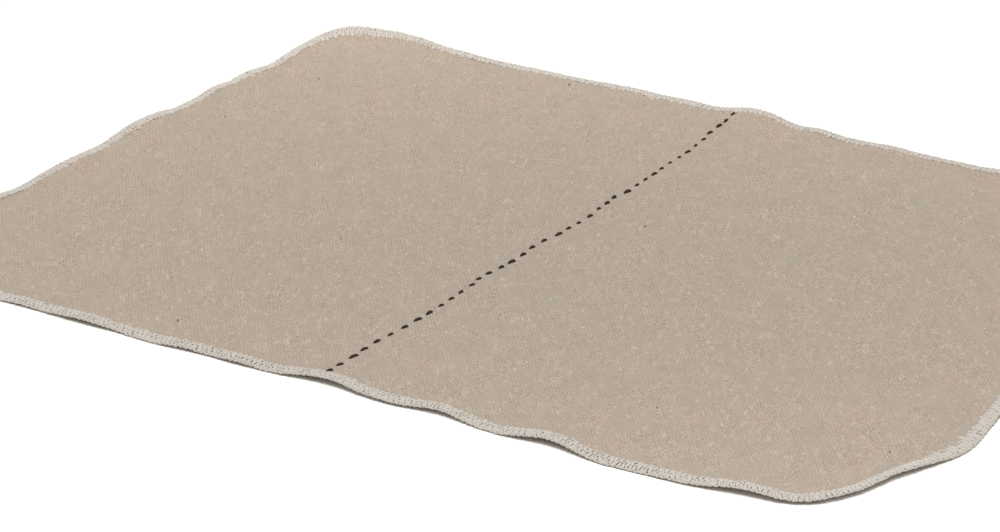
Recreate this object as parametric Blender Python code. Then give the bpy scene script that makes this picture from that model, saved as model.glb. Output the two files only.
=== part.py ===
"""A fabric placemat lying flat on a table.

One cloth with rounded corners, cut a little unevenly. Its rim is an overlocked hem, a little thicker
than the cloth, and lifts in low waves; its middle is flat. Metres, +Z up, and the origin is on the
table, under the middle of the cloth.
"""

import math
from collections import namedtuple

import bmesh
import bpy
from mathutils import Vector

# Driving sizes
LENGTH = 0.455  # along X
WIDTH = 0.350  # along Y
CLOTH_THICKNESS = 0.0016
HEM_THICKNESS = 0.0021  # the cloth and the thread wrapped over it
HEM_WIDTH = 0.0045
RIM_STEP = 0.007  # between the points of a ring, along the rim

Corner = namedtuple("Corner", "name x_side y_side radius")
CORNERS = (  # counterclockwise from above, in the order that a ring's points go
    Corner("near right", 1, -1, 0.056),
    Corner("far right", 1, 1, 0.043),
    Corner("far left", -1, 1, 0.038),
    Corner("near left", -1, -1, 0.044),
)
SHARPEST_RADIUS = 0.030  # of a corner of the inner rings

# Each wave of the rim is a smooth bump about the point of the rim that is nearest to x, y.
# lift is how high the rim rises there, draw how far it is pulled inward, or less than 0 if outward, and
# reach how far in from the rim the wave dies out.
Wave = namedtuple("Wave", "x y half_width lift draw reach")
WAVES = (
    # the near side, left to right
    Wave(-0.190, -0.175, 0.026, 0.0022, 0.0008, 0.040),
    Wave(-0.150, -0.175, 0.014, 0.0006, 0.0000, 0.025),
    Wave(-0.119, -0.175, 0.026, 0.0014, -0.0009, 0.035),
    Wave(-0.084, -0.175, 0.026, 0.0000, -0.0014, 0.035),
    Wave(-0.070, -0.175, 0.016, 0.0009, 0.0000, 0.030),
    Wave(-0.046, -0.175, 0.016, 0.0009, -0.0005, 0.030),
    Wave(-0.005, -0.175, 0.028, 0.0022, 0.0025, 0.045),
    Wave(0.022, -0.175, 0.018, 0.0008, 0.0000, 0.030),
    Wave(0.046, -0.175, 0.022, 0.0016, 0.0022, 0.040),
    Wave(0.080, -0.175, 0.024, 0.0000, -0.0010, 0.030),
    Wave(0.096, -0.175, 0.025, 0.0023, 0.0013, 0.045),
    Wave(0.124, -0.175, 0.034, 0.0000, -0.0025, 0.040),
    Wave(0.150, -0.175, 0.014, 0.0004, 0.0000, 0.025),
    Wave(0.156, -0.175, 0.028, 0.0000, -0.0012, 0.040),
    Wave(0.178, -0.175, 0.026, 0.0022, 0.0022, 0.045),
    # round the near right corner and up the right side
    Wave(0.205, -0.165, 0.030, 0.0010, 0.0000, 0.012),
    Wave(0.205, -0.165, 0.030, 0.0000, -0.0012, 0.040),
    Wave(0.220, -0.1465, 0.0325, 0.0013, 0.0000, 0.012),
    Wave(0.220, -0.145, 0.037, 0.0000, 0.0048, 0.050),
    Wave(0.2275, -0.122, 0.0285, 0.0016, 0.0000, 0.012),
    Wave(0.2275, -0.123, 0.0345, 0.0000, 0.0049, 0.050),
    Wave(0.2275, -0.093, 0.042, 0.0000, -0.0038, 0.050),
    Wave(0.2275, -0.040, 0.030, 0.0017, 0.0004, 0.035),
    Wave(0.2275, 0.020, 0.027, 0.0028, 0.0008, 0.045),
    Wave(0.2275, 0.080, 0.022, 0.0011, 0.0000, 0.030),
    Wave(0.213, 0.163, 0.036, 0.0034, 0.0006, 0.050),
    # the far side, right to left
    Wave(0.128, 0.175, 0.022, 0.0014, 0.0000, 0.030),
    Wave(0.066, 0.175, 0.014, 0.0007, 0.0000, 0.025),
    Wave(0.029, 0.175, 0.014, 0.0012, 0.0000, 0.025),
    Wave(-0.002, 0.175, 0.026, 0.0039, 0.0000, 0.050),
    Wave(-0.034, 0.175, 0.020, 0.0008, 0.0000, 0.030),
    Wave(-0.066, 0.175, 0.032, 0.0008, 0.0000, 0.030),
    Wave(-0.138, 0.175, 0.034, 0.0000, 0.0028, 0.040),
    Wave(-0.182, 0.175, 0.022, 0.0014, 0.0002, 0.045),
    # the raised far left corner, and down the left side
    Wave(-0.214, 0.164, 0.036, 0.0000, 0.0010, 0.050),
    Wave(-0.188, 0.175, 0.0225, 0.0015, 0.0000, 0.012),
    Wave(-0.212, 0.1655, 0.035, 0.0056, 0.0000, 0.012),
    Wave(-0.2275, 0.117, 0.041, 0.0000, 0.0050, 0.040),
    Wave(-0.2275, 0.098, 0.016, 0.0018, 0.0000, 0.012),
    Wave(-0.2275, 0.071, 0.015, 0.0012, 0.0003, 0.025),
    Wave(-0.2275, 0.030, 0.0175, 0.0007, 0.0000, 0.012),
    Wave(-0.2275, 0.013, 0.0325, 0.0029, 0.0009, 0.045),
    Wave(-0.2275, -0.042, 0.037, 0.0018, 0.0006, 0.040),
    Wave(-0.2275, -0.096, 0.024, 0.0022, 0.0005, 0.040),
    Wave(-0.212, -0.162, 0.034, 0.0019, 0.0000, 0.040),
    # where the hem itself curls up, along the far side, right to left, and down the left side
    Wave(0.150, 0.175, 0.100, 0.0008, 0.0000, 0.011),
    Wave(0.050, 0.175, 0.100, 0.0006, 0.0000, 0.011),
    Wave(-0.050, 0.175, 0.100, 0.0010, 0.0000, 0.011),
    Wave(-0.150, 0.175, 0.060, 0.0018, 0.0000, 0.011),
    Wave(-0.2275, 0.126, 0.0275, 0.0021, 0.0000, 0.011),
    Wave(-0.2275, 0.006, 0.035, 0.0010, 0.0000, 0.011),
)

# The rings of the cloth, from its edge inward: the section across the rim, where it lies flat.
Ring = namedtuple("Ring", "inset under top")
RINGS = (
    Ring(0.0000, 0.35 * HEM_THICKNESS, 0.70 * HEM_THICKNESS),
    Ring(0.0010, 0.0, HEM_THICKNESS),
    Ring(HEM_WIDTH - 0.0008, 0.0, HEM_THICKNESS),
    Ring(HEM_WIDTH + 0.0008, 0.0, CLOTH_THICKNESS),
    Ring(0.009, 0.0, CLOTH_THICKNESS),
    Ring(0.015, 0.0, CLOTH_THICKNESS),
    Ring(0.026, 0.0, CLOTH_THICKNESS),
    Ring(0.038, 0.0, CLOTH_THICKNESS),
    Ring(0.052, 0.0, CLOTH_THICKNESS),
)

TAUPE = (0.468, 0.376, 0.305, 1.0)
FABRIC_ROUGHNESS = 0.95


def corner_point(corner, angle, inset):
    """A point of a corner's arc, on the ring that lies inset from the edge."""
    radius = max(corner.radius - inset, SHARPEST_RADIUS)
    middle = Vector(
        (
            corner.x_side * (LENGTH / 2 - inset - radius),
            corner.y_side * (WIDTH / 2 - inset - radius),
            0.0,
        )
    )
    return middle + radius * Vector((math.cos(angle), math.sin(angle), 0.0))


def ring_points(inset):
    """The points of one ring, counterclockwise, with no waves. Every ring has the same number."""
    quarter = math.pi / 2
    points = []
    for i, corner in enumerate(CORNERS):
        start = (i - 1) * quarter
        arc_steps = round(corner.radius * quarter / RIM_STEP)
        for k in range(arc_steps):
            points.append(corner_point(corner, start + quarter * k / arc_steps, inset))
        following = CORNERS[(i + 1) % len(CORNERS)]
        side_length = WIDTH if corner.x_side == following.x_side else LENGTH
        side_length -= corner.radius + following.radius
        side_steps = round(side_length / RIM_STEP)
        side_start = corner_point(corner, start + quarter, inset)
        side_end = corner_point(following, start + quarter, inset)
        for k in range(side_steps):
            points.append(side_start.lerp(side_end, k / side_steps))
    return points


def distances_along(points):
    """How far round the closed outline each of its points is, and how long the outline is."""
    distances = [0.0]
    for a, b in zip(points, points[1:] + points[:1]):
        distances.append(distances[-1] + (b - a).length)
    return distances[:-1], distances[-1]


def bump(distance, half_width):
    """1 at the middle of a wave, falling smoothly to 0 at its half width."""
    if distance >= half_width:
        return 0.0
    return 0.5 + 0.5 * math.cos(math.pi * distance / half_width)


def curl(inset, reach):
    """1 at the rim, falling ever more gently to 0 at the reach of a wave."""
    return (1.0 - min(inset / reach, 1.0)) ** 2


def distance_to(place, points, along):
    """How far round the outline its point nearest to a place is."""
    nearest = min(range(len(points)), key=lambda i: (points[i] - place).length)
    forward = points[(nearest + 1) % len(points)] - points[nearest - 1]
    return along[nearest] + (place - points[nearest]).dot(forward.normalized())


def rim_shifts(points):
    """For each wave, how strongly it acts at each point of the outline."""
    along, around = distances_along(points)
    strengths = []
    for wave in WAVES:
        middle = distance_to(Vector((wave.x, wave.y, 0.0)), points, along)
        row = []
        for at in along:
            apart = abs(at - middle)
            row.append(bump(min(apart, around - apart), wave.half_width))
        strengths.append(row)
    return strengths


def waved_ring(ring, strengths, inward):
    """A ring's points at the cloth's under side, once the waves have moved them."""
    points = []
    for i, point in enumerate(ring_points(ring.inset)):
        lift = 0.0
        draw = 0.0
        for wave, row in zip(WAVES, strengths):
            strength = row[i] * curl(ring.inset, wave.reach)
            lift += wave.lift * strength
            draw += wave.draw * strength
        points.append(point + draw * inward[i] + Vector((0.0, 0.0, lift)))
    return points


def add_loop(mesh, points, height):
    return [mesh.verts.new(point + Vector((0.0, 0.0, height))) for point in points]


def join_loops(mesh, outer, inner):
    """A band of faces between two loops, facing up where outer is the larger one."""
    count = len(outer)
    for i in range(count):
        j = (i + 1) % count
        mesh.faces.new((outer[i], outer[j], inner[j], inner[i]))


def cloth_mesh():
    """The closed cloth: its upper side, its edge and its under side."""
    outline = ring_points(0.0)
    strengths = rim_shifts(outline)
    inward = [(b - a).normalized() for a, b in zip(outline, ring_points(HEM_WIDTH))]
    mesh = bmesh.new()
    upper = []
    lower = []
    for ring in RINGS:
        points = waved_ring(ring, strengths, inward)
        upper.append(add_loop(mesh, points, ring.top))
        lower.append(add_loop(mesh, points, ring.under))
    for outer, inner in zip(upper, upper[1:]):
        join_loops(mesh, outer, inner)
    for outer, inner in zip(lower, lower[1:]):
        join_loops(mesh, inner, outer)
    join_loops(mesh, lower[0], upper[0])
    mesh.faces.new(upper[-1])
    mesh.faces.new(list(reversed(lower[-1])))
    bmesh.ops.triangulate(mesh, faces=mesh.faces)
    return mesh


def fabric():
    material = bpy.data.materials.new("taupe_fabric")
    material.use_nodes = True
    shader = material.node_tree.nodes["Principled BSDF"]
    shader.inputs["Base Color"].default_value = TAUPE
    shader.inputs["Roughness"].default_value = FABRIC_ROUGHNESS
    shader.inputs["Metallic"].default_value = 0.0
    return material


def build_cloth():
    mesh = bpy.data.meshes.new("cloth")
    shape = cloth_mesh()
    shape.to_mesh(mesh)
    shape.free()
    mesh.materials.append(fabric())
    mesh.shade_smooth()
    mesh.set_sharp_from_angle(angle=math.radians(50))
    cloth = bpy.data.objects.new("cloth", mesh)
    bpy.context.scene.collection.objects.link(cloth)
    return cloth


def main():
    for thing in list(bpy.data.objects):
        bpy.data.objects.remove(thing, do_unlink=True)
    build_cloth()


main()
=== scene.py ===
"""A taupe fabric placemat on a pale floor, with an overlocked edge and one row of dark running stitches.

The cloth follows the CAD's outline and the waves of its rim, finely enough to show its thickness, the small
unevenness of woven cloth and the dents that the stitches pull into it. Every thread of the edge and of the
row is a solid strand. Metres, +Z up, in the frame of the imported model.
"""

import math
from collections import namedtuple

import bpy
import numpy as np
from mathutils import Matrix, Vector


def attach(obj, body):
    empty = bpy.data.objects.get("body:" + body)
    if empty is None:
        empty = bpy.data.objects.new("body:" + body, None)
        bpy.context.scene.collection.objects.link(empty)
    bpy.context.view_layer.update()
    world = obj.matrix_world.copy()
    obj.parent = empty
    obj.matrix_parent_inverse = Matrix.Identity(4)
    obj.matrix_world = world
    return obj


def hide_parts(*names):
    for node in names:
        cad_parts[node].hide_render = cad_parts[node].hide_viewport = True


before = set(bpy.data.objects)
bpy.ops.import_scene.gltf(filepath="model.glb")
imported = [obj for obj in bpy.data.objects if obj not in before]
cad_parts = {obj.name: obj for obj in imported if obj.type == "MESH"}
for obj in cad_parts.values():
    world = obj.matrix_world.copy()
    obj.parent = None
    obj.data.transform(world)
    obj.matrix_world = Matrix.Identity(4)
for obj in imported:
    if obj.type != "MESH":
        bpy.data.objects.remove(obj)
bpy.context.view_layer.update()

MM = 0.001
QUARTER = math.pi / 2

# The cloth, as in the CAD
LENGTH = 0.455  # along X
WIDTH = 0.350  # along Y
CLOTH_THICKNESS = 0.0016
HEM_WIDTH = 0.0045

Corner = namedtuple("Corner", "x_side y_side radius")
CORNERS = (  # near right, far right, far left and near left, counterclockwise from above
    Corner(1, -1, 0.056),
    Corner(1, 1, 0.043),
    Corner(-1, 1, 0.038),
    Corner(-1, -1, 0.044),
)
SHARPEST_RADIUS = 0.030  # of a corner of the inner rings
FLAT_INSET = 0.052  # the cloth is flat from here inward

# Each wave of the rim is a smooth bump about the point of the rim that is nearest to x, y.
# lift is how high the rim rises there, draw how far it is pulled inward, or less than 0 if outward, and
# reach how far in from the rim the wave dies out.
Wave = namedtuple("Wave", "x y half_width lift draw reach")
WAVES = (
    # the near side, left to right
    Wave(-0.190, -0.175, 0.026, 0.0022, 0.0008, 0.040),
    Wave(-0.150, -0.175, 0.014, 0.0006, 0.0000, 0.025),
    Wave(-0.119, -0.175, 0.026, 0.0014, -0.0009, 0.035),
    Wave(-0.084, -0.175, 0.026, 0.0000, -0.0014, 0.035),
    Wave(-0.070, -0.175, 0.016, 0.0009, 0.0000, 0.030),
    Wave(-0.046, -0.175, 0.016, 0.0009, -0.0005, 0.030),
    Wave(-0.005, -0.175, 0.028, 0.0022, 0.0025, 0.045),
    Wave(0.022, -0.175, 0.018, 0.0008, 0.0000, 0.030),
    Wave(0.046, -0.175, 0.022, 0.0016, 0.0022, 0.040),
    Wave(0.080, -0.175, 0.024, 0.0000, -0.0010, 0.030),
    Wave(0.096, -0.175, 0.025, 0.0023, 0.0013, 0.045),
    Wave(0.124, -0.175, 0.034, 0.0000, -0.0025, 0.040),
    Wave(0.150, -0.175, 0.014, 0.0004, 0.0000, 0.025),
    Wave(0.156, -0.175, 0.028, 0.0000, -0.0012, 0.040),
    Wave(0.178, -0.175, 0.026, 0.0022, 0.0022, 0.045),
    # round the near right corner and up the right side
    Wave(0.205, -0.165, 0.030, 0.0010, 0.0000, 0.012),
    Wave(0.205, -0.165, 0.030, 0.0000, -0.0012, 0.040),
    Wave(0.220, -0.1465, 0.0325, 0.0013, 0.0000, 0.012),
    Wave(0.220, -0.145, 0.037, 0.0000, 0.0048, 0.050),
    Wave(0.2275, -0.122, 0.0285, 0.0016, 0.0000, 0.012),
    Wave(0.2275, -0.123, 0.0345, 0.0000, 0.0049, 0.050),
    Wave(0.2275, -0.093, 0.042, 0.0000, -0.0038, 0.050),
    Wave(0.2275, -0.040, 0.030, 0.0017, 0.0004, 0.035),
    Wave(0.2275, 0.020, 0.027, 0.0028, 0.0008, 0.045),
    Wave(0.2275, 0.080, 0.022, 0.0011, 0.0000, 0.030),
    Wave(0.213, 0.163, 0.036, 0.0034, 0.0006, 0.050),
    # the far side, right to left
    Wave(0.128, 0.175, 0.022, 0.0014, 0.0000, 0.030),
    Wave(0.066, 0.175, 0.014, 0.0007, 0.0000, 0.025),
    Wave(0.029, 0.175, 0.014, 0.0012, 0.0000, 0.025),
    Wave(-0.002, 0.175, 0.026, 0.0039, 0.0000, 0.050),
    Wave(-0.034, 0.175, 0.020, 0.0008, 0.0000, 0.030),
    Wave(-0.066, 0.175, 0.032, 0.0008, 0.0000, 0.030),
    Wave(-0.138, 0.175, 0.034, 0.0000, 0.0028, 0.040),
    Wave(-0.182, 0.175, 0.022, 0.0014, 0.0002, 0.045),
    # the raised far left corner, and down the left side
    Wave(-0.214, 0.164, 0.036, 0.0000, 0.0010, 0.050),
    Wave(-0.188, 0.175, 0.0225, 0.0015, 0.0000, 0.012),
    Wave(-0.212, 0.1655, 0.035, 0.0056, 0.0000, 0.012),
    Wave(-0.2275, 0.117, 0.041, 0.0000, 0.0050, 0.040),
    Wave(-0.2275, 0.098, 0.016, 0.0018, 0.0000, 0.012),
    Wave(-0.2275, 0.071, 0.015, 0.0012, 0.0003, 0.025),
    Wave(-0.2275, 0.030, 0.0175, 0.0007, 0.0000, 0.012),
    Wave(-0.2275, 0.013, 0.0325, 0.0029, 0.0009, 0.045),
    Wave(-0.2275, -0.042, 0.037, 0.0018, 0.0006, 0.040),
    Wave(-0.2275, -0.096, 0.024, 0.0022, 0.0005, 0.040),
    Wave(-0.212, -0.162, 0.034, 0.0019, 0.0000, 0.040),
    # where the hem itself curls up, along the far side, right to left, and down the left side
    Wave(0.150, 0.175, 0.100, 0.0008, 0.0000, 0.011),
    Wave(0.050, 0.175, 0.100, 0.0006, 0.0000, 0.011),
    Wave(-0.050, 0.175, 0.100, 0.0010, 0.0000, 0.011),
    Wave(-0.150, 0.175, 0.060, 0.0018, 0.0000, 0.011),
    Wave(-0.2275, 0.126, 0.0275, 0.0021, 0.0000, 0.011),
    Wave(-0.2275, 0.006, 0.035, 0.0010, 0.0000, 0.011),
)

# The section across the cloth's rim, from its raw edge inward. The overlock presses it thin.
Ring = namedtuple("Ring", "inset height")
UPPER_RINGS = (
    Ring(0.00060, 0.00056),
    Ring(0.00075, 0.00100),
    Ring(0.00120, 0.00140),
    Ring(0.00240, 0.00157),
    Ring(0.00340, 0.00157),
    Ring(0.00410, 0.00155),
    Ring(0.00470, 0.00158),
    Ring(0.00550, 0.00163),
    Ring(0.00670, 0.00170),
    Ring(0.00840, 0.00165),
)
UPPER_RING_STEP = 0.0020  # between the rings from there to FLAT_INSET
LOWER_RINGS = (
    Ring(0.00065, 0.00042),
    Ring(0.00110, 0.00034),
    Ring(0.00390, 0.00032),
    Ring(0.00570, 0.00000),
    Ring(0.01200, 0.00000),
    Ring(0.02000, 0.00000),
    Ring(0.03000, 0.00000),
    Ring(0.04000, 0.00000),
    Ring(0.05200, 0.00000),
)

# How the mesh's points are shared out along the rim
ARC_STEPS = 20
SHORT_SIDE_STEP = 0.0014
LONG_SIDE_STEP = 0.0021
ROW_STEP = 0.00045  # where the row of running stitches crosses
ROW_BAND = (0.464, 0.499)  # the shares of the near side between which it crosses

# The row of running stitches, from the near side to the far side: which stitch, its place y, x, and its
# length. The ones between follow on evenly, give or take what a hand does.
ROW = (
    (0, -0.1684, -0.0073, 0.0032),
    (1, -0.1593, -0.0078, 0.0039),
    (2, -0.1474, -0.0086, 0.0054),
    (3, -0.1387, -0.0093, 0.0037),
    (4, -0.1296, -0.0092, 0.0045),
    (5, -0.1201, -0.0085, 0.0033),
    (7, -0.1025, -0.0074, 0.0043),
    (9, -0.0845, -0.0073, 0.0034),
    (10, -0.0763, -0.0078, 0.0028),
    (11, -0.0688, -0.0079, 0.0028),
    (12, -0.0600, -0.0081, 0.0033),
    (13, -0.0528, -0.0092, 0.0028),
    (14, -0.0450, -0.0092, 0.0030),
    (16, -0.0291, -0.0077, 0.0035),
    (17, -0.0203, -0.0077, 0.0034),
    (18, -0.0116, -0.0090, 0.0036),
    (19, -0.0026, -0.0084, 0.0033),
    (20, 0.0073, -0.0067, 0.0040),
    (22, 0.0230, -0.0063, 0.0022),
    (23, 0.0321, -0.0060, 0.0030),
    (24, 0.0418, -0.0075, 0.0026),
    (26, 0.0568, -0.0085, 0.0030),
    (27, 0.0654, -0.0072, 0.0033),
    (28, 0.0745, -0.0074, 0.0026),
    (30, 0.0899, -0.0077, 0.0032),
    (31, 0.0973, -0.0084, 0.0021),
    (34, 0.1210, -0.0084, 0.0032),
    (35, 0.1299, -0.0095, 0.0022),
    (36, 0.1383, -0.0101, 0.0025),
    (37, 0.1470, -0.0115, 0.0034),
    (38, 0.1559, -0.0118, 0.0038),
    (40, 0.1688, -0.0120, 0.0030),
)
STITCH_RADIUS = 0.00058  # of a stitch of the usual length: a longer one lies looser, so it is fuller
USUAL_LENGTH = 0.0032
STITCH_SLANT = math.radians(12)  # from the row towards +X
PLACE_SPREAD = 0.0003  # how unevenly a hand sews: along the row,
ASIDE_SPREAD = 0.00012  # across it,
LENGTH_SPREAD = 0.10  # in each stitch's length, as a share,
RADIUS_SPREAD = 0.07  # in its radius, as a share,
SLANT_SPREAD = 5.0  # and in its slant, in degrees

# The overlock
OVERLOCK_PITCH = 0.00235

# The stage
WHITE_LIGHT = 0.50
KEY_POWER = 35.0
KEY_SIZE = 1.2
KEY_PLACE = Vector((0.22, -0.42, 1.95))
FLOOR_HALF_SIZE = 4.0
FLOOR_HEIGHT = -0.0001
FLOOR_COLOUR = (0.95, 0.93, 0.895, 1.0)

CAMERA_TARGET = Vector((-0.0112, -0.0329, 0.0))
CAMERA_AZIMUTH = math.radians(31.0)
CAMERA_ELEVATION = math.radians(22.45)
CAMERA_ROLL = math.radians(0.90)
CAMERA_DISTANCE = 1.873
CAMERA_LENS = 163.55
CAMERA_SENSOR = 36.0
CAMERA_CLIP = (0.05, 50.0)


# ---------------------------------------------------------------- the outline and its waves


def corner_points(corner, angle, inset):
    """Points of a corner's arc, on the rings that lie inset from the edge, as the CAD has them."""
    radius = np.maximum(corner.radius - inset, SHARPEST_RADIUS)
    x = corner.x_side * (LENGTH / 2 - inset - radius) + radius * np.cos(angle)
    y = corner.y_side * (WIDTH / 2 - inset - radius) + radius * np.sin(angle)
    return np.stack(np.broadcast_arrays(x, y), -1)


def outline_sections():
    """Where each corner and the side after it start, measured along the outline, and its whole length."""
    starts = []
    place = 0.0
    for i, corner in enumerate(CORNERS):
        following = CORNERS[(i + 1) % len(CORNERS)]
        side = WIDTH if corner.x_side == following.x_side else LENGTH
        side_start = place + corner.radius * QUARTER
        starts.append((place, side_start))
        place = side_start + side - corner.radius - following.radius
    return starts, place


SECTIONS, AROUND = outline_sections()


def flat_points(place, inset):
    """The points that lie place along the outline and inset from it, with no waves."""
    place, inset = np.broadcast_arrays(np.mod(place, AROUND), inset)
    points = np.zeros(place.shape + (2,))
    for i, corner in enumerate(CORNERS):
        arc_start, side_start = SECTIONS[i]
        side_end = SECTIONS[i + 1][0] if i + 1 < len(SECTIONS) else AROUND
        angle = (i - 1) * QUARTER + (place - arc_start) / corner.radius
        arc = corner_points(corner, angle, inset)
        a = corner_points(corner, i * QUARTER, inset)
        b = corner_points(CORNERS[(i + 1) % len(CORNERS)], i * QUARTER, inset)
        share = (place - side_start) / (side_end - side_start)
        side = a + share[..., None] * (b - a)
        on_arc = (place >= arc_start) & (place < side_start)
        on_side = (place >= side_start) & (place < side_end)
        points[on_arc] = arc[on_arc]
        points[on_side] = side[on_side]
    return points


def bump(distance, half_width):
    """1 at 0, falling smoothly to 0 at the half width."""
    share = np.clip(np.abs(distance) / half_width, 0.0, 1.0)
    return 0.5 + 0.5 * np.cos(math.pi * share)


def curl(inset, reach):
    """1 at the rim, falling ever more gently to 0 at the reach of a wave."""
    return (1.0 - np.clip(inset / reach, 0.0, 1.0)) ** 2


def wave_places():
    """How far along the outline the middle of each wave is."""
    places = np.linspace(0.0, AROUND, 8000, endpoint=False)
    points = flat_points(places, 0.0)
    nearest = []
    for wave in WAVES:
        distances = np.hypot(points[:, 0] - wave.x, points[:, 1] - wave.y)
        nearest.append(places[distances.argmin()])
    return nearest


WAVE_PLACES = wave_places()


def rim_points(place, inset, height):
    """Points of the waved rim, height above the cloth's under side."""
    place, inset, height = np.broadcast_arrays(place, inset, height)
    lift = np.zeros(place.shape)
    draw = np.zeros(place.shape)
    for wave, middle in zip(WAVES, WAVE_PLACES):
        apart = np.mod(place - middle, AROUND)
        apart = np.minimum(apart, AROUND - apart)
        strength = bump(apart, wave.half_width) * curl(inset, wave.reach)
        lift += wave.lift * strength
        draw += wave.draw * strength
    inward = flat_points(place, HEM_WIDTH) - flat_points(place, 0.0)
    inward /= np.linalg.norm(inward, axis=-1, keepdims=True)
    moved = flat_points(place, inset) + draw[..., None] * inward
    return np.concatenate([moved, (lift + height)[..., None]], -1)


def cloth_points(x, y, height):
    """Points height above the under side of the cloth, at x, y. Not for places near the short sides."""
    x, y, height = np.broadcast_arrays(x, y, height)
    inset = np.clip(WIDTH / 2 - np.abs(y), 0.0, FLAT_INSET)
    points = np.stack([x, y, height], -1).astype(float)
    for i, on_side in ((1, y > 0), (3, y <= 0)):
        start, end = SECTIONS[i][1], SECTIONS[i + 1][0] if i + 1 < len(SECTIONS) else AROUND
        a = corner_points(CORNERS[i], i * QUARTER, inset)[..., 0]
        b = corner_points(CORNERS[(i + 1) % len(CORNERS)], i * QUARTER, inset)[..., 0]
        place = start + (end - start) * (x - a) / (b - a)
        waved = rim_points(place, inset, height)
        near_rim = on_side & (inset < FLAT_INSET)
        points[near_rim] = waved[near_rim]
    return points


# ---------------------------------------------------------------- the row of running stitches


Stitch = namedtuple("Stitch", "x y length radius slant")


def row_stitches():
    """The stitches of the row: hand sewn, so no two are quite alike."""
    rng = np.random.default_rng(11)
    numbers, places_y, places_x, lengths = np.array(ROW).T
    count = ROW[-1][0] + 1
    stitches = []
    for k in range(count):
        y = np.interp(k, numbers, places_y)
        if k not in (0, count - 1):
            y += rng.normal(0.0, PLACE_SPREAD)
        x = np.interp(k, numbers, places_x) + rng.normal(0.0, ASIDE_SPREAD)
        length = np.interp(k, numbers, lengths) * np.clip(rng.normal(1.0, LENGTH_SPREAD), 0.80, 1.15)
        radius = STITCH_RADIUS * math.sqrt(length / USUAL_LENGTH)
        radius *= np.clip(rng.normal(1.0, RADIUS_SPREAD), 0.88, 1.12)
        slant = STITCH_SLANT + math.radians(rng.normal(0.0, SLANT_SPREAD))
        stitches.append(Stitch(x, y, length, radius, slant))
    return stitches


ROW_STITCHES = row_stitches()


# ---------------------------------------------------------------- the cloth


def ripples(seed, count, shortest, longest):
    """Waves of random length and direction for uneven(): (across x, across y, phase, size)."""
    rng = np.random.default_rng(seed)
    lengths = np.exp(rng.uniform(math.log(shortest), math.log(longest), count))
    angles = rng.uniform(0.0, math.pi, count)
    turns = 2 * math.pi / lengths
    sizes = (lengths / longest) ** 0.8
    return turns * np.cos(angles), turns * np.sin(angles), rng.uniform(0, 2 * math.pi, count), sizes


UNEVEN = ripples(3, 26, 0.009, 0.095)
UNEVEN_HEIGHT = 0.00007
PUCKER_HEIGHT = 0.00007
PUCKER_INSET = 0.0068
PUCKER_REACH = 0.0065


def uneven(x, y):
    """The slight unevenness of cloth that has been washed and folded."""
    across_x, across_y, phases, sizes = UNEVEN
    total = np.zeros(np.shape(x))
    for kx, ky, phase, size in zip(across_x, across_y, phases, sizes):
        total += size * np.sin(kx * x + ky * y + phase)
    return UNEVEN_HEIGHT * total


def pucker(place, inset):
    """The small ripples that the overlock's tension pulls into the cloth beside it."""
    wobble = 0.8 * np.sin(place / 0.0173) + 0.6 * np.sin(place / 0.0101 + 1.0)
    ripple = np.sin(place / 0.00135 + 2.0 * wobble) * (0.6 + 0.4 * np.sin(place / 0.0231))
    return PUCKER_HEIGHT * ripple * bump(inset - PUCKER_INSET, PUCKER_REACH)


# What a running stitch does to the cloth
GROOVE_DEPTH = 0.00022  # under the stitch
GROOVE_HALF_WIDTH = 0.0010
GROOVE_END = 0.0008  # over which the groove dies out beyond the stitch
HOLE_DEPTH = 0.00024  # more, where the thread goes through
HOLE_RADIUS = 0.0009
DENT_REACH = 0.005  # beyond the stitch's end, from where it is left out


def dents(x, y):
    """How far the running stitches pull the cloth down."""
    depth = np.zeros(np.shape(x))
    for stitch in ROW_STITCHES:
        ahead_x, ahead_y = math.sin(stitch.slant), math.cos(stitch.slant)
        along = (x - stitch.x) * ahead_x + (y - stitch.y) * ahead_y
        across = (x - stitch.x) * ahead_y - (y - stitch.y) * ahead_x
        half = stitch.length / 2
        close = np.abs(along) < half + DENT_REACH
        beyond = np.maximum(np.abs(along) - half, 0.0)
        groove = GROOVE_DEPTH * np.exp(-((across / GROOVE_HALF_WIDTH) ** 2))
        groove *= np.exp(-((beyond / GROOVE_END) ** 2))
        for end in (-half, half):
            away = ((along - end) / HOLE_RADIUS) ** 2 + (across / HOLE_RADIUS) ** 2
            groove += HOLE_DEPTH * np.exp(-away)
        depth += np.where(close, groove, 0.0)
    return depth


def upper_height(flat, profile):
    """The height of the cloth's upper side over its under side: its profile with its small relief."""
    x, y = flat[..., 0], flat[..., 1]
    return profile + uneven(x, y) - dents(x, y)


def side_shares():
    """The shares of a long side at which the mesh has points, closer together where the row crosses."""
    side = LENGTH - 2 * FLAT_INSET - 2 * SHARPEST_RADIUS
    low, high = ROW_BAND
    before = np.linspace(0.0, low, round(low * side / LONG_SIDE_STEP), endpoint=False)
    within = np.linspace(low, high, round((high - low) * side / ROW_STEP), endpoint=False)
    after = np.linspace(high, 1.0, round((1 - high) * side / LONG_SIDE_STEP), endpoint=False)
    return np.concatenate([before, within, after])


def rim_places():
    """Where the mesh's points are along the outline, and how many each long and each short side has."""
    long_shares = side_shares()
    side = WIDTH - 2 * FLAT_INSET - 2 * SHARPEST_RADIUS
    short_count = round(side / SHORT_SIDE_STEP)
    short_shares = np.arange(short_count) / short_count
    far_shares = np.concatenate([[0.0], 1.0 - long_shares[:0:-1]])
    places = []
    for i, shares in enumerate((short_shares, far_shares, short_shares, long_shares)):
        arc_start, side_start = SECTIONS[i]
        side_end = SECTIONS[i + 1][0] if i + 1 < len(SECTIONS) else AROUND
        places.append(arc_start + (side_start - arc_start) * np.arange(ARC_STEPS) / ARC_STEPS)
        places.append(side_start + (side_end - side_start) * shares)
    return np.concatenate(places), len(long_shares), short_count


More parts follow.
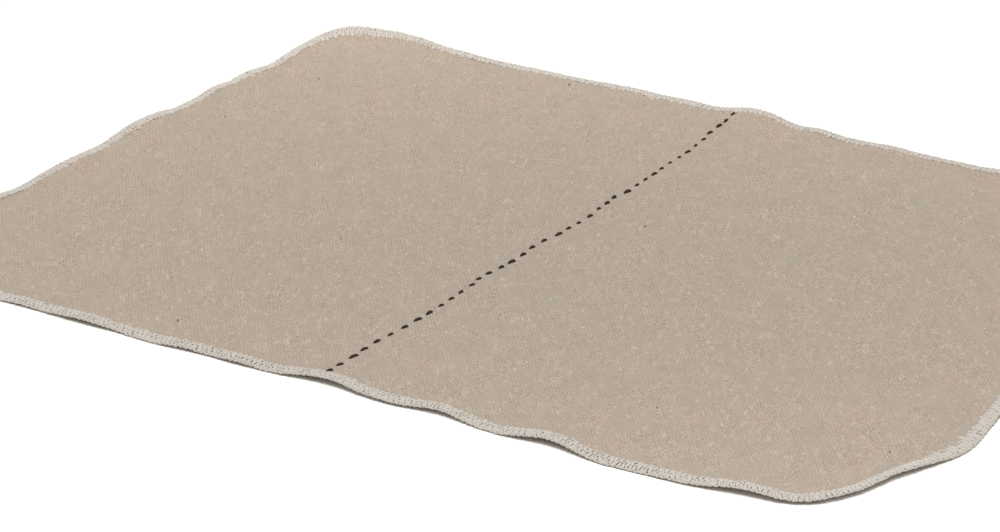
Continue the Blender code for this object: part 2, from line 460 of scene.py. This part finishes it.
def filled(loop, columns, rows):
    """The points of a grid that fills a loop, whose own points are the grid's border.

    The loop starts in the middle of its first corner, and the grid's first row runs along its first side.
    """
    near = loop[: columns + 1]
    right = loop[columns : columns + rows + 1]
    far = loop[columns + rows : 2 * columns + rows + 1][::-1]
    left = np.concatenate([loop[2 * columns + rows :], loop[:1]])[::-1]
    u = ((near[:, 0] - near[0, 0]) / (near[-1, 0] - near[0, 0]))[None, :, None]
    v = ((left[:, 1] - left[0, 1]) / (left[-1, 1] - left[0, 1]))[:, None, None]
    ruled = (1 - v) * near[None] + v * far[None] + (1 - u) * left[:, None] + u * right[:, None]
    straight = (1 - v) * ((1 - u) * near[0] + u * near[-1]) + v * ((1 - u) * far[0] + u * far[-1])
    return ruled - straight


def band_faces(outer, inner):
    """Quads between two loops of point numbers, facing up where the outer loop is the larger."""
    after_outer, after_inner = np.roll(outer, -1), np.roll(inner, -1)
    return np.stack([outer, after_outer, after_inner, inner], -1).tolist()


def cloth_mesh():
    """The points and faces of the closed cloth."""
    places, columns, rows = rim_places()
    columns += ARC_STEPS
    rows += ARC_STEPS
    points = []
    faces = []
    loops = []
    count = 0
    last = UPPER_RINGS[-1].inset
    steps = round((FLAT_INSET - last) / UPPER_RING_STEP)
    plain = [Ring(last + (FLAT_INSET - last) * (k + 1) / steps, CLOTH_THICKNESS) for k in range(steps)]
    for ring in list(UPPER_RINGS) + plain:
        flat = flat_points(places, ring.inset)
        height = upper_height(flat, ring.height) + pucker(places, ring.inset)
        points.append(rim_points(places, ring.inset, height))
        loops.append(np.arange(count, count + len(places)))
        count += len(places)
    for outer, inner in zip(loops, loops[1:]):
        faces += band_faces(outer, inner)
    under = []
    for ring in LOWER_RINGS:
        points.append(rim_points(places, ring.inset, ring.height))
        under.append(np.arange(count, count + len(places)))
        count += len(places)
    for outer, inner in zip(under, under[1:]):
        faces += band_faces(inner, outer)
    faces += band_faces(under[0], loops[0])
    faces.append(under[-1][::-1].tolist())

    # the flat middle of the upper side
    start = len(places) - (columns - ARC_STEPS) - ARC_STEPS // 2  # the middle of the near left corner
    border = np.roll(loops[-1], -start)
    grid = filled(np.roll(flat_points(places, FLAT_INSET), -start, 0), columns, rows)
    middle = grid[1:-1, 1:-1]
    numbers = np.zeros(grid.shape[:2], int)
    numbers[0] = border[: columns + 1]
    numbers[:, -1] = border[columns : columns + rows + 1]
    numbers[-1] = border[columns + rows : 2 * columns + rows + 1][::-1]
    numbers[:, 0] = np.append(border[2 * columns + rows :], border[0])[::-1]
    numbers[1:-1, 1:-1] = count + np.arange(middle.shape[0] * middle.shape[1]).reshape(middle.shape[:2])
    height = upper_height(middle, CLOTH_THICKNESS)
    points.append(np.concatenate([middle, height[..., None]], -1).reshape(-1, 3))
    quads = [numbers[:-1, :-1], numbers[:-1, 1:], numbers[1:, 1:], numbers[1:, :-1]]
    faces += np.stack(quads, -1).reshape(-1, 4).tolist()
    return np.concatenate(points), faces


# ---------------------------------------------------------------- threads


def smooth_line(knots, steps, closed, period=0.0):
    """A smooth line through the knots, steps points for each. period is what the first column of the
    knots grows by in one turn, if closed."""
    before, after, later = np.roll(knots, 1, 0), np.roll(knots, -1, 0), np.roll(knots, -2, 0)
    if closed:
        before[0, 0] -= period
        after[-1, 0] += period
        later[-2:, 0] += period
    else:
        before[0] = knots[0]
        after[-1] = knots[-1]
        later[-2:] = knots[-1]
    t = (np.arange(steps) / steps)[None, :, None]
    a, b, c, d = before[:, None], knots[:, None], after[:, None], later[:, None]
    line = b + 0.5 * t * (c - a + t * (2 * a - 5 * b + 4 * c - d + t * (3 * (b - c) + d - a)))
    line = line.reshape(-1, knots.shape[1])
    return line if closed else line[: (len(knots) - 1) * steps + 1]


def unit(vectors):
    """Each vector with its length made 1."""
    return vectors / np.linalg.norm(vectors, axis=-1, keepdims=True)


def section_axes(line, closed):
    """Two unit vectors across a line at each of its points, turning about it as little as they can."""
    ahead = np.roll(line, -1, 0) - np.roll(line, 1, 0)
    if not closed:
        ahead[0] = line[1] - line[0]
        ahead[-1] = line[-1] - line[-2]
    ahead = unit(ahead)
    side = Vector(ahead[0]).orthogonal()
    sides = []
    for direction in ahead:
        direction = Vector(direction)
        side = (side - side.dot(direction) * direction).normalized()
        sides.append(side)
    sides = np.array(sides)
    ups = np.cross(ahead, sides)
    if closed:
        meeting = sides[-1] - sides[-1].dot(ahead[0]) * ahead[0]
        turn = math.atan2(meeting.dot(ups[0]), meeting.dot(sides[0]))
        turns = (-turn * np.arange(len(line)) / len(line))[:, None]
        sides, ups = (
            np.cos(turns) * sides + np.sin(turns) * ups,
            np.cos(turns) * ups - np.sin(turns) * sides,
        )
    return sides, ups


def strand(line, radii, sides, closed):
    """A round strand along a line: its points, its faces, and for each corner of each face the distance
    along the strand in millimetres, the share of the way round it, and the strand's own radius."""
    across, up = section_axes(line, closed)
    angles = 2 * math.pi * np.arange(sides) / sides
    turned_across = np.cos(angles)[None, :, None] * across[:, None]
    turned_up = np.sin(angles)[None, :, None] * up[:, None]
    points = line[:, None] + np.reshape(radii, (-1, 1, 1)) * (turned_across + turned_up)
    points = points.reshape(-1, 3)
    count = len(line)
    rows = np.arange(count if closed else count - 1)
    i, k = np.meshgrid(rows, np.arange(sides), indexing="ij")
    following, beside = (i + 1) % count, (k + 1) % sides
    quads = [i * sides + k, i * sides + beside, following * sides + beside, following * sides + k]
    faces = np.stack(quads, -1).reshape(-1, 4).tolist()
    steps = np.linalg.norm(np.roll(line, -1, 0) - line, axis=-1) / MM
    along = np.concatenate([[0.0], np.cumsum(steps)])
    thick = np.broadcast_to(np.asarray(radii) / MM, count)[i]
    marks = np.stack(
        [
            np.stack([along[i], along[i], along[i + 1], along[i + 1]], -1),
            np.stack([k, k + 1, k + 1, k], -1) / sides,
            np.stack([thick] * 4, -1),
        ],
        -1,
    ).reshape(-1, 3)
    if not closed:
        faces.append(list(range(sides))[::-1])
        faces.append(list(range((count - 1) * sides, count * sides)))
        marks = np.concatenate([marks, np.zeros((2 * sides, 3))])
    return points, faces, marks


def gathered(strands):
    """Several strands as one mesh's points, faces and marks."""
    points, faces, marks = [], [], []
    count = 0
    for some_points, some_faces, some_marks in strands:
        points.append(some_points)
        faces += [[n + count for n in face] for face in some_faces]
        marks.append(some_marks)
        count += len(some_points)
    return np.concatenate(points), faces, np.concatenate(marks)


# One stitch of each thread of the overlock, as points along it: along in pitches, then inset from the
# edge, height over the cloth's under side and radius, all in millimetres.
LOOPER_ABOVE = (
    (0.00, -0.16, 0.48, 0.34),
    (0.06, -0.08, 0.92, 0.38),
    (0.13, 0.50, 1.38, 0.42),
    (0.20, 1.60, 1.60, 0.48),
    (0.26, 2.90, 1.60, 0.49),
    (0.46, 4.35, 1.56, 0.46),
    (0.66, 2.90, 1.60, 0.49),
    (0.76, 1.60, 1.60, 0.48),
    (0.86, 0.50, 1.38, 0.42),
    (0.94, -0.08, 0.92, 0.38),
)
NEEDLE = (
    (0.00, 3.90, 1.20, 0.26),
    (0.14, 3.88, 1.66, 0.34),
    (0.38, 3.84, 1.80, 0.38),
    (0.64, 3.84, 1.80, 0.38),
    (0.88, 3.88, 1.66, 0.34),
)
SECOND_NEEDLE = (
    (0.00, 2.50, 1.25, 0.24),
    (0.14, 2.48, 1.70, 0.31),
    (0.38, 2.44, 1.82, 0.34),
    (0.64, 2.44, 1.82, 0.34),
    (0.88, 2.48, 1.70, 0.31),
)
LOOPER_BELOW = (
    (0.42, 0.30, 1.16, 0.36),
    (0.50, 1.05, 1.42, 0.38),
    (0.58, 0.30, 1.16, 0.36),
    (0.62, -0.16, 0.54, 0.33),
    (0.66, 0.30, 0.27, 0.28),
    (0.72, 2.10, 0.18, 0.27),
    (0.95, 4.10, 0.18, 0.27),
    (1.22, 2.10, 0.18, 0.27),
    (1.34, 0.30, 0.27, 0.28),
    (1.38, -0.16, 0.54, 0.33),
)
RIM_CHAIN = (
    (0.00, -0.22, 0.66, 0.34),
    (0.25, -0.06, 0.86, 0.38),
    (0.50, -0.22, 0.60, 0.38),
    (0.75, -0.10, 0.46, 0.36),
)


# How unevenly each stitch of a loose thread is sewn: in millimetres along the rim, and as shares of its
# inset and its radius. Then each point of it, in millimetres: along, inset and height.
STITCH_SHIFT, STITCH_WIDEN, STITCH_THICKEN = 0.30, 0.35, 0.25
POINT_SHIFT, POINT_INSET, POINT_HEIGHT = 0.15, 0.35, 0.12
STRAND_STEPS = 2  # points for each point of a stitch


def overlock_thread(stitch, seed, loose, sides):
    """One thread of the overlock, all the way round. loose is how unevenly it is sewn: 0 not at all."""
    rng = np.random.default_rng(seed)
    count = round(AROUND / OVERLOCK_PITCH)
    pitch = AROUND / count
    along, inset, height, radius = np.array(stitch).T
    shift = rng.normal(0.0, STITCH_SHIFT * loose, (count, 1)) * MM
    widen = 1.0 + rng.normal(0.0, STITCH_WIDEN * loose, (count, 1))
    thicken = 1.0 + rng.normal(0.0, STITCH_THICKEN * loose, (count, 1))
    shape = (count, len(along))
    place = pitch * (np.arange(count)[:, None] + along) + shift
    place = place + rng.normal(0.0, POINT_SHIFT * loose, shape) * MM
    inset = (inset * widen + rng.normal(0.0, POINT_INSET * loose, shape)) * MM
    height = (height + rng.normal(0.0, POINT_HEIGHT * loose, shape)) * MM
    radius = radius * thicken * MM
    knots = np.stack([place, inset, height, radius], -1).reshape(-1, 4)
    line = smooth_line(knots, STRAND_STEPS, True, AROUND)
    return strand(rim_points(line[:, 0], line[:, 1], line[:, 2]), line[:, 3], sides, True)


PLIES = 3
PLY_TURN = 0.0042  # the length of one turn of the plies
PLY_ASIDE = 0.46  # of a ply's middle from the thread's, and
PLY_RADIUS = 0.56  # its radius, both as shares of the thread's radius
PLY_SIDES = 8
ROW_STEPS = 4  # points of the line for each of the points below

# One running stitch, as points along it: along in half lengths of the stitch, height over the cloth's under
# side, and radius in radii of the stitch
RUNNING_STITCH = (
    (-0.92, 0.0002, 0.50),
    (-1.00, 0.0011, 0.46),
    (-0.90, CLOTH_THICKNESS - 0.00012, 0.55),
    (-0.50, CLOTH_THICKNESS + 0.00006, 0.96),
    (0.00, CLOTH_THICKNESS + 0.00010, 1.12),
    (0.50, CLOTH_THICKNESS + 0.00006, 0.96),
    (0.90, CLOTH_THICKNESS - 0.00012, 0.55),
    (1.00, 0.0011, 0.46),
    (0.92, 0.0002, 0.50),
)


def row_thread():
    """The thread of the running stitches: it comes up through the cloth, runs over it, goes down again
    and runs on below. Its plies are twisted."""
    knots = []
    for stitch in ROW_STITCHES:
        ahead_x, ahead_y = math.sin(stitch.slant), math.cos(stitch.slant)
        half = stitch.length / 2
        for along, height, thick in RUNNING_STITCH:
            x, y = stitch.x + along * half * ahead_x, stitch.y + along * half * ahead_y
            knots.append((x, y, height, thick * stitch.radius))
    line = smooth_line(np.array(knots), ROW_STEPS, False)
    middle = cloth_points(line[:, 0], line[:, 1], line[:, 2])
    radii = line[:, 3]
    across, up = section_axes(middle, False)
    steps = np.linalg.norm(np.diff(middle, axis=0), axis=-1)
    along = np.concatenate([[0.0], np.cumsum(steps)])
    plies = []
    for ply in range(PLIES):
        angle = (2 * math.pi * (along / PLY_TURN + ply / PLIES))[:, None]
        aside = np.cos(angle) * across + np.sin(angle) * up
        ply_middle = middle + PLY_ASIDE * radii[:, None] * aside
        plies.append(strand(ply_middle, PLY_RADIUS * radii, PLY_SIDES, False))
    return gathered(plies)


# ---------------------------------------------------------------- materials


class Shading:
    """A material's node tree, built by short calls. A value is a number, a colour or a node's output."""

    def __init__(self, name):
        self.material = bpy.data.materials.new(name)
        self.material.use_nodes = True
        self.tree = self.material.node_tree
        self.shader = self.tree.nodes["Principled BSDF"]

    def node(self, kind, **settings):
        made = self.tree.nodes.new(kind)
        for name, value in settings.items():
            setattr(made, name, value)
        return made

    def feed(self, socket, value):
        if isinstance(value, bpy.types.NodeSocket):
            self.tree.links.new(value, socket)
        else:
            socket.default_value = value

    def math(self, operation, *values):
        made = self.node("ShaderNodeMath", operation=operation)
        for socket, value in zip(made.inputs, values):
            self.feed(socket, value)
        return made.outputs[0]

    def vector(self, operation, *values):
        made = self.node("ShaderNodeVectorMath", operation=operation)
        for socket, value in zip(made.inputs, values):
            self.feed(socket, value)
        return made.outputs["Value" if operation in ("DOT_PRODUCT", "LENGTH") else "Vector"]

    def noise(self, where, scale, detail=2.0, roughness=0.5, distortion=0.0):
        """A noise whose features are about 1 / scale across. Returns its value and its colour."""
        made = self.node("ShaderNodeTexNoise")
        self.feed(made.inputs["Vector"], where)
        made.inputs["Scale"].default_value = scale
        made.inputs["Detail"].default_value = detail
        made.inputs["Roughness"].default_value = roughness
        made.inputs["Distortion"].default_value = distortion
        return made.outputs["Fac"], made.outputs["Color"]

    def cells(self, where, scale):
        """Scattered points, one for each cell. Returns the distance to the nearest and its own colour."""
        made = self.node("ShaderNodeTexVoronoi")
        self.feed(made.inputs["Vector"], where)
        made.inputs["Scale"].default_value = scale
        return made.outputs["Distance"], made.outputs["Color"]

    def dots(self, where, scale, least, spread, low, high):
        """1 on scattered dots, with radii of least to least + spread in cells. Their own numbers from low
        to high fade them from 0 to 1."""
        distance, own = self.cells(where, scale)
        own = self.parts(own)
        size = self.math("MULTIPLY_ADD", own[1], spread, least)
        return self.math("MULTIPLY", self.math("LESS_THAN", distance, size), self.fit(own[0], low, high))

    def fit(self, value, low, high, at_low=0.0, at_high=1.0, smooth=True):
        """value mapped from low..high to at_low..at_high, and held there beyond."""
        made = self.node("ShaderNodeMapRange", interpolation_type="SMOOTHSTEP" if smooth else "LINEAR")
        for name, part in (
            ("Value", value),
            ("From Min", low),
            ("From Max", high),
            ("To Min", at_low),
            ("To Max", at_high),
        ):
            self.feed(made.inputs[name], part)
        return made.outputs["Result"]

    def mixed(self, share, a, b, blend="MIX"):
        made = self.node("ShaderNodeMix", data_type="RGBA", blend_type=blend)
        self.feed(made.inputs["Factor"], share)
        self.feed(made.inputs[6], a)
        self.feed(made.inputs[7], b)
        return made.outputs[2]

    def parts(self, vector):
        made = self.node("ShaderNodeSeparateXYZ")
        self.feed(made.inputs[0], vector)
        return made.outputs

    def raised(self, height, distance, strength=1.0):
        made = self.node("ShaderNodeBump")
        made.inputs["Strength"].default_value = strength
        made.inputs["Distance"].default_value = distance
        self.feed(made.inputs["Height"], height)
        return made.outputs["Normal"]


def combined(made, x, y):
    """A vector in the plane."""
    vector = made.node("ShaderNodeCombineXYZ")
    made.feed(vector.inputs[0], x)
    made.feed(vector.inputs[1], y)
    return vector.outputs[0]


# The cloth is a two-and-one twill. From one yarn to the next, in millimetres:
WARP_PITCH = 0.603
WEFT_PITCH = 0.780
TWILL_REPEAT = 3.0
# Its surface fibres lie along one direction, so what they make up is longer that way.
NAP_ANGLE = math.radians(31)
NAP_ACROSS = (math.cos(NAP_ANGLE), math.sin(NAP_ANGLE), 0.0)
NAP_AHEAD = (-math.sin(NAP_ANGLE), math.cos(NAP_ANGLE), 0.0)
NAP_STRETCH = 0.24
FLUFF_STRETCH = 0.42
# Pale fibres: the scale of the noise whose level lines they are, the level, and where the noise starts
FIBRE_LINES = ((0.30, 0.50, 0.0), (0.42, 0.47, 31.0), (0.36, 0.54, 67.0))

# Painted light: how much paler the mat and its threads are painted as the light falls, at the reach below
# in millimetres from the middle: along the nap, which is as much darker against it, then both along and
# against the nap, then all round
PAINTED_LIGHT_REACH = 230.0
PAINTED_LIGHT_AHEAD = 0.078
PAINTED_LIGHT_BOTH_WAYS = 0.10
PAINTED_LIGHT_ALL_ROUND = 0.050

TAUPE_GREY = (0.356, 0.298, 0.234, 1.0)
TAUPE_PINK = (0.370, 0.294, 0.234, 1.0)
FIBRE = (0.56, 0.48, 0.39, 1.0)
FLECK = (0.14, 0.10, 0.07, 1.0)
OFF_WHITE = (0.542, 0.499, 0.448, 1.0)
OFF_WHITE_SHADOW = (0.426, 0.389, 0.346, 1.0)
DARK_BROWN = (0.040, 0.026, 0.017, 1.0)
DARK_BROWN_SHADOW = (0.013, 0.009, 0.006, 1.0)


def millimetres(made):
    """The place on the mat, in millimetres."""
    place = made.node("ShaderNodeTexCoord").outputs["Object"]
    return made.vector("MULTIPLY", place, (1000.0, 1000.0, 1000.0))


def painted_light_gradient(made, where):
    """Painted light: how pale the mat is painted at a place, if its middle is 1, as the light falls: paler
    along the nap and towards the rim, darkest across the middle.
    """
    ahead_share = made.math("DIVIDE", made.vector("DOT_PRODUCT", where, NAP_AHEAD), PAINTED_LIGHT_REACH)
    rim_share = made.math("DIVIDE", made.vector("LENGTH", where), PAINTED_LIGHT_REACH)
    ahead_square = made.math("MULTIPLY", ahead_share, ahead_share)
    rim_square = made.math("MULTIPLY", rim_share, rim_share)
    painted_paleness = made.math("MULTIPLY_ADD", ahead_share, PAINTED_LIGHT_AHEAD, 1.0)
    painted_paleness = made.math("MULTIPLY_ADD", ahead_square, PAINTED_LIGHT_BOTH_WAYS, painted_paleness)
    return made.math("MULTIPLY_ADD", rim_square, PAINTED_LIGHT_ALL_ROUND, painted_paleness)


def dimmed(made, colour, tone):
    """A colour times a number."""
    shade = made.node("ShaderNodeCombineColor")
    for socket in shade.inputs:
        made.feed(socket, tone)
    return made.mixed(1.0, colour, shade.outputs[0], "MULTIPLY")


def fabric():
    """A soft twill of uneven yarn, with a short nap, pale fibres, flecks and faint patches, and painted
    light that makes it paler along the nap and towards the rim.
    """
    made = Shading("taupe_fabric")
    where = millimetres(made)
    across = made.vector("DOT_PRODUCT", where, NAP_ACROSS)
    ahead = made.vector("DOT_PRODUCT", where, NAP_AHEAD)
    brushed = combined(made, across, made.math("MULTIPLY", ahead, NAP_STRETCH))
    fluff = combined(made, across, made.math("MULTIPLY", ahead, FLUFF_STRETCH))

    # the yarns wander slowly, and shiver a little
    _, drift = made.noise(where, 0.022, 1.0)
    _, shiver = made.noise(where, 0.8, 1.0)
    middle = (0.5, 0.5, 0.5)
    drift = made.vector("MULTIPLY", made.vector("SUBTRACT", drift, middle), (2.0, 2.0, 0.0))
    shiver = made.vector("MULTIPLY", made.vector("SUBTRACT", shiver, middle), (0.80, 0.80, 0.0))
    bent = made.vector("ADD", made.vector("ADD", where, drift), shiver)
    x, y, _ = made.parts(bent)
    warp_place = made.math("DIVIDE", x, WARP_PITCH)
    weft_place = made.math("DIVIDE", y, WEFT_PITCH)
    column = made.math("FLOOR", warp_place)
    line = made.math("FLOOR", weft_place)

    # the weave: each warp yarn goes over two wefts and under the third, a weft further on in the next
    warp_hump = made.math("ABSOLUTE", made.math("SINE", made.math("MULTIPLY", warp_place, math.pi)))
    weft_hump = made.math("ABSOLUTE", made.math("SINE", made.math("MULTIPLY", weft_place, math.pi)))
    turn = made.math("MULTIPLY", made.math("ADD", weft_place, column), math.tau / TWILL_REPEAT)
    rise = made.math("COSINE", turn)
    over = made.fit(rise, -0.75, -0.15)
    crown = made.fit(rise, -0.75, 1.0, 0.55, 1.0)
    warp = made.math("MULTIPLY", crown, made.math("MULTIPLY_ADD", warp_hump, 0.5, 0.5))
    weft = made.math("MULTIPLY", weft_hump, 0.45)
    weave = made.math("MULTIPLY_ADD", made.math("SUBTRACT", warp, weft), over, weft)

    # each yarn has its own tone along its length, and each crossing its own
    warp_run = combined(made, made.math("MULTIPLY", column, 1.37), made.math("MULTIPLY", y, 0.12))
    weft_run = combined(made, made.math("MULTIPLY", x, 0.12), made.math("MULTIPLY", line, 1.37))
    warp_tone, _ = made.noise(warp_run, 1.0, 2.0)
    weft_tone, _ = made.noise(weft_run, 1.0, 2.0)
    yarn_tone = made.math("MULTIPLY_ADD", made.math("SUBTRACT", warp_tone, weft_tone), over, weft_tone)
    crossing = made.node("ShaderNodeTexWhiteNoise", noise_dimensions="2D")
    made.feed(crossing.inputs["Vector"], combined(made, column, line))
    crossing_tone = crossing.outputs["Value"]

    # the nap, and the twill that it half hides
    grain, _ = made.noise(fluff, 1.1, 3.0, 0.6)
    nap, _ = made.noise(brushed, 2.5, 2.0, 0.7)
    tufts, _ = made.noise(brushed, 0.60, 1.0)
    worn, _ = made.noise(fluff, 0.10, 2.0)
    rough = made.fit(worn, 0.32, 0.68, 0.45, 1.55)

    # pale fibres: short pieces of the level lines of three noises
    fibres = []
    for scale, level, shift in FIBRE_LINES:
        moved = made.vector("ADD", fluff, (shift, shift * 0.7, 0.0))
        contour, _ = made.noise(moved, scale, 1.0, 0.5, 0.6)
        away = made.math("ABSOLUTE", made.math("SUBTRACT", contour, level))
        line_share = made.fit(away, 0.008, 0.036, 1.0, 0.0)
        patch, _ = made.noise(moved, 0.34, 0.0)
        fibres.append(made.math("MULTIPLY", line_share, made.fit(patch, 0.60, 0.68)))
    fibre = made.math("MAXIMUM", made.math("MAXIMUM", fibres[0], fibres[1]), fibres[2])

    # pale and dark flecks, and specks hardly wider than a yarn
    pale = made.dots(fluff, 0.20, 0.035, 0.060, 0.42, 0.60)
    dark = made.dots(made.vector("ADD", fluff, (7.0, 3.0, 0.0)), 0.070, 0.024, 0.034, 0.40, 0.70)
    speck = made.dots(made.vector("ADD", fluff, (19.0, 11.0, 0.0)), 0.42, 0.06, 0.08, 0.30, 0.90)

    # colour
    patches, _ = made.noise(fluff, 0.050, 2.0, 0.6)
    ground = made.mixed(made.fit(patches, 0.40, 0.60, smooth=False), TAUPE_GREY, TAUPE_PINK)
    clouds, _ = made.noise(fluff, 0.12, 3.0, 0.60)
    fine = made.math("MULTIPLY", made.math("SUBTRACT", nap, 0.5), 1.15)
    fine = made.math("MULTIPLY_ADD", made.math("SUBTRACT", tufts, 0.5), 0.22, fine)
    fine = made.math("MULTIPLY_ADD", made.math("SUBTRACT", crossing_tone, 0.5), 0.08, fine)
    tone = made.math("MULTIPLY_ADD", fine, rough, 0.82)
    tone = made.math("MULTIPLY_ADD", yarn_tone, 0.12, tone)
    tone = made.math("MULTIPLY_ADD", weave, 0.17, tone)
    tone = made.math("MULTIPLY_ADD", made.math("SUBTRACT", clouds, 0.5), 0.20, tone)
    # painted light: the cloth's colour is made paler along the nap and towards the rim, darkest across the
    # middle
    colour = dimmed(made, ground, made.math("MULTIPLY", tone, painted_light_gradient(made, where)))
    colour = made.mixed(made.math("MULTIPLY", fibre, 0.38), colour, FIBRE)
    colour = made.mixed(made.math("MULTIPLY", pale, 0.85), colour, FIBRE)
    colour = made.mixed(made.math("MULTIPLY", speck, 0.32), colour, FLECK)
    colour = made.mixed(made.math("MULTIPLY", dark, 0.85), colour, FLECK)
    made.feed(made.shader.inputs["Base Color"], colour)
    made.feed(made.shader.inputs["Roughness"], made.fit(grain, 0.3, 0.7, 0.86, 0.98, smooth=False))
    height = made.math("MULTIPLY_ADD", grain, 0.3, weave)
    height = made.math("MULTIPLY_ADD", nap, 0.6, height)
    height = made.math("MULTIPLY_ADD", fibre, 0.5, height)
    height = made.math("MULTIPLY_ADD", pale, 0.6, height)
    made.feed(made.shader.inputs["Normal"], made.raised(height, 0.00010, 0.35))
    made.shader.inputs["Sheen Weight"].default_value = 0.12
    made.shader.inputs["Sheen Roughness"].default_value = 0.5
    made.shader.inputs["Specular IOR Level"].default_value = 0.25
    return made.material


def thread(name, colour, shadow, turn, sheen):
    """Twisted thread, with painted light that makes it paler along the nap and towards the rim, like the
    cloth. turn is the length of one turn of its plies, in millimetres.
    """
    made = Shading(name)
    mark = made.node("ShaderNodeAttribute", attribute_name="strand")
    along, around, _ = made.parts(mark.outputs["Vector"])
    where = millimetres(made)
    lint, _ = made.noise(where, 2.4, 3.0, 0.6)
    soil, _ = made.noise(where, 0.16, 2.0)
    phase = made.math("ADD", made.math("MULTIPLY", around, 2.0), made.math("DIVIDE", along, turn))
    phase = made.math("MULTIPLY_ADD", lint, 0.35, phase)
    plies = made.math("ABSOLUTE", made.math("SINE", made.math("MULTIPLY", phase, math.pi)))
    fuzz = made.math("MULTIPLY", lint, 0.5)
    ridge = made.math("MULTIPLY_ADD", made.math("POWER", plies, 0.6), 0.75, fuzz)
    colour_share = made.fit(ridge, 0.15, 0.95)
    tint = made.mixed(colour_share, shadow, colour)
    tint = made.mixed(made.fit(soil, 0.35, 0.70, 0.0, 0.16), tint, shadow)
    # painted light: the thread's colour is made paler along the nap and towards the rim, like the cloth's
    made.feed(made.shader.inputs["Base Color"], dimmed(made, tint, painted_light_gradient(made, where)))
    made.feed(made.shader.inputs["Roughness"], made.fit(lint, 0.3, 0.7, 0.78, 0.95, smooth=False))
    made.feed(made.shader.inputs["Normal"], made.raised(ridge, 0.00010, 0.7))
    made.shader.inputs["Sheen Weight"].default_value = sheen
    made.shader.inputs["Sheen Roughness"].default_value = 0.5
    made.shader.inputs["Specular IOR Level"].default_value = 0.3
    return made.material


def plain(name, colour, roughness):
    """One colour all over, with hardly any gloss."""
    made = Shading(name)
    made.shader.inputs["Base Color"].default_value = colour
    made.shader.inputs["Roughness"].default_value = roughness
    made.shader.inputs["Specular IOR Level"].default_value = 0.1
    return made.material


# ---------------------------------------------------------------- pieces


def piece(name, points, faces, material, marks=None):
    """A visible piece. marks are the strand attribute of each corner of each face."""
    mesh = bpy.data.meshes.new(name)
    mesh.from_pydata(points.tolist(), [], faces)
    if marks is not None:
        layer = mesh.attributes.new("strand", "FLOAT_VECTOR", "CORNER")
        layer.data.foreach_set("vector", marks.astype(np.float32).ravel())
    mesh.materials.append(material)
    mesh.shade_smooth()
    made = bpy.data.objects.new(name, mesh)
    bpy.context.scene.collection.objects.link(made)
    return made


def build_placemat():
    """The cloth, and the list of the threads sewn to it."""
    off_white = thread("off_white_thread", OFF_WHITE, OFF_WHITE_SHADOW, turn=1.2, sheen=0.2)
    dark_brown = thread("dark_brown_thread", DARK_BROWN, DARK_BROWN_SHADOW, turn=1.6, sheen=0.02)
    points, faces = cloth_mesh()
    cloth = piece("woven_cloth", points, faces, fabric())
    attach(cloth, "root")
    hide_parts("cloth")
    edge = (
        ("overlock_looper_above", overlock_thread(LOOPER_ABOVE, seed=21, loose=0.45, sides=6)),
        ("overlock_looper_below", overlock_thread(LOOPER_BELOW, seed=22, loose=0.45, sides=5)),
        ("overlock_needle_thread", overlock_thread(NEEDLE, seed=23, loose=0.30, sides=6)),
        ("overlock_second_needle_thread", overlock_thread(SECOND_NEEDLE, seed=25, loose=0.40, sides=6)),
        ("overlock_rim_chain", overlock_thread(RIM_CHAIN, seed=24, loose=0.45, sides=6)),
    )
    sewn = []
    for name, (points, faces, marks) in edge:
        made = piece(name, points, faces, off_white, marks)
        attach(made, "root")
        sewn.append(made)
    points, faces, marks = row_thread()
    row = piece("running_stitch_row", points, faces, dark_brown, marks)
    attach(row, "root")
    sewn.append(row)
    return cloth, sewn


def build_floor():
    half = FLOOR_HALF_SIZE
    sides = ((-half, -half), (half, -half), (half, half), (-half, half))
    corners = np.array([(x, y, FLOOR_HEIGHT) for x, y in sides])
    floor = piece("floor", corners, [[0, 1, 2, 3]], plain("pale_floor", FLOOR_COLOUR, 0.9))
    return floor


def aimed(back, roll=0.0):
    """The rotation of a camera or lamp that looks along -back."""
    right = Vector((0, 0, 1)).cross(back).normalized()
    up = back.cross(right)
    turned_right = right * math.cos(roll) + up * math.sin(roll)
    turned_up = up * math.cos(roll) - right * math.sin(roll)
    return Matrix((turned_right, turned_up, back)).transposed().to_4x4()


def build_light():
    """White light from all round, and a large softbox above the near side."""
    world = bpy.data.worlds.new("studio")
    world.use_nodes = True
    background = world.node_tree.nodes["Background"]
    background.inputs["Color"].default_value = (1.0, 1.0, 1.0, 1.0)
    background.inputs["Strength"].default_value = WHITE_LIGHT
    bpy.context.scene.world = world
    lamp = bpy.data.lights.new("softbox", "AREA")
    lamp.shape = "SQUARE"
    lamp.size = KEY_SIZE
    lamp.energy = KEY_POWER
    softbox = bpy.data.objects.new("softbox", lamp)
    softbox.matrix_world = Matrix.Translation(KEY_PLACE) @ aimed(KEY_PLACE.normalized())
    bpy.context.scene.collection.objects.link(softbox)


def build_camera():
    """The camera, at the photo's angle and framing."""
    flat = math.cos(CAMERA_ELEVATION)
    back_x = math.sin(CAMERA_AZIMUTH) * flat
    back_y = -math.cos(CAMERA_AZIMUTH) * flat
    back = Vector((back_x, back_y, math.sin(CAMERA_ELEVATION)))
    lens = bpy.data.cameras.new("camera")
    lens.lens = CAMERA_LENS
    lens.sensor_width = CAMERA_SENSOR
    lens.clip_start, lens.clip_end = CAMERA_CLIP
    camera = bpy.data.objects.new("camera", lens)
    place = CAMERA_TARGET + back * CAMERA_DISTANCE
    camera.matrix_world = Matrix.Translation(place) @ aimed(back, CAMERA_ROLL)
    bpy.context.scene.collection.objects.link(camera)
    bpy.context.scene.camera = camera


bpy.context.scene.view_settings.view_transform = "Standard"
build_camera()
build_light()
floor = build_floor()
cloth, sewn = build_placemat()
